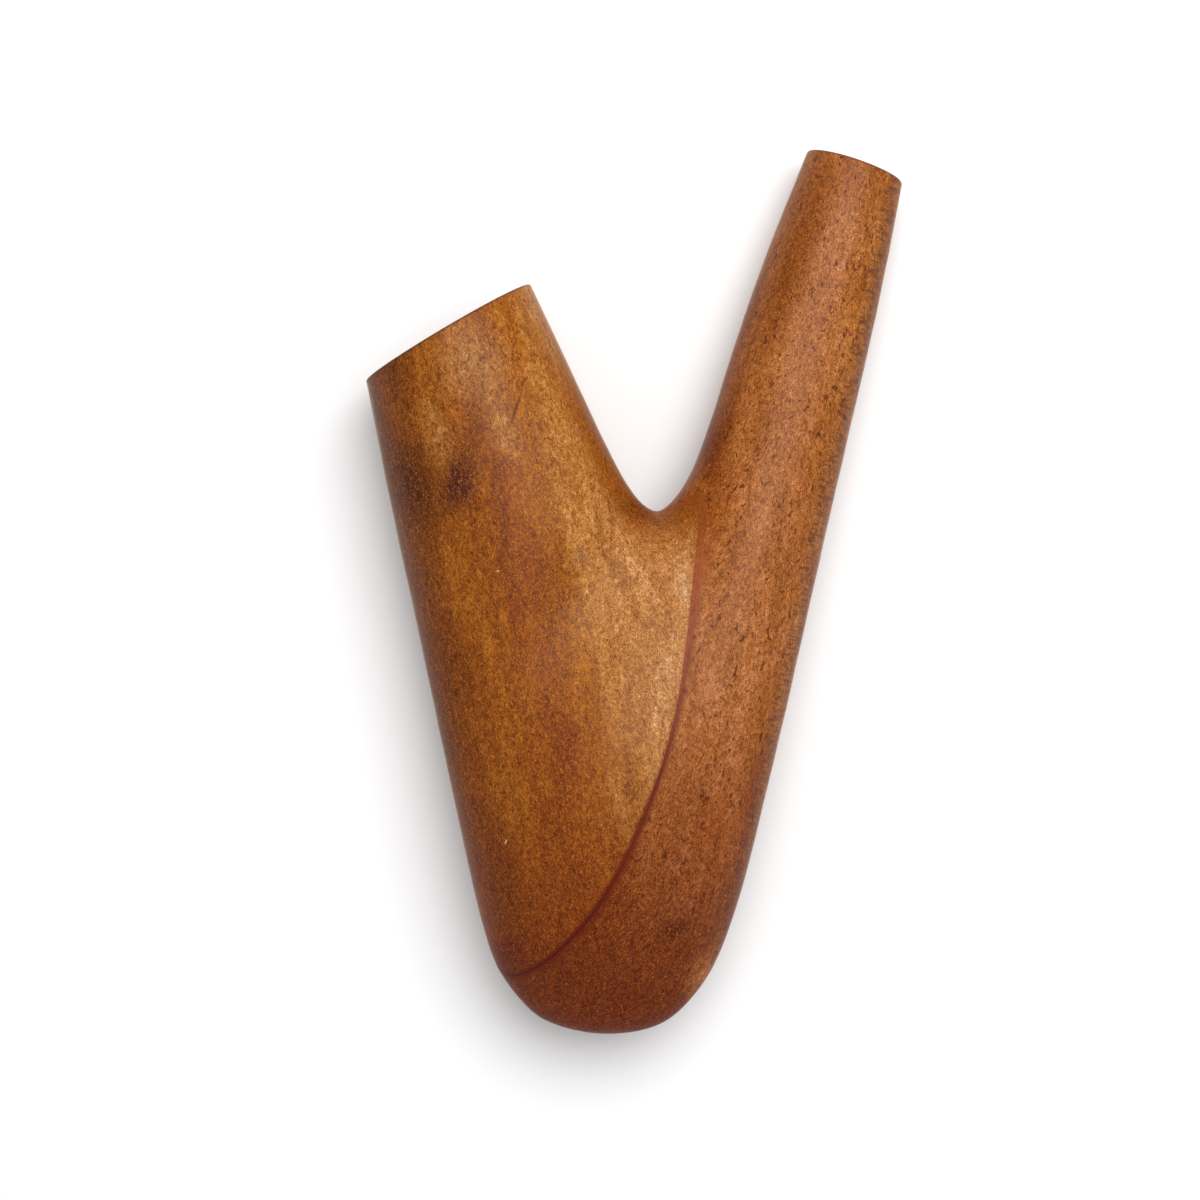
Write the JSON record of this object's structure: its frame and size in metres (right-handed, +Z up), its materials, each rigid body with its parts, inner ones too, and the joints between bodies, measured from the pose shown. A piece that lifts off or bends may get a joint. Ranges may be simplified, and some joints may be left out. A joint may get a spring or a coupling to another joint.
{
  "type": "compact didgeridoo",
  "caption": "Small V-shaped wooden didgeridoo with a narrow mouthpiece limb and a wide bell limb joined at a round toe.",
  "frame": {"origin": "centre of the footprint, on the surface the instrument lies on", "axes": "+Y along the limbs towards their open ends, +X from the bell limb to the mouthpiece limb, +Z up out of the table"},
  "size_m": [0.2238, 0.368, 0.0761],
  "materials": {
    "bell_wood": "satin oiled golden-brown wood",
    "mouthpiece_wood": "satin oiled reddish-brown wood",
    "glue": "dark red glue line, sanded flush"
  },
  "bodies": {
    "root": {"bell_block": "bell_wood", "mouthpiece_block": "mouthpiece_wood", "glue_seam": "glue"}
  },
  "joints": []
}
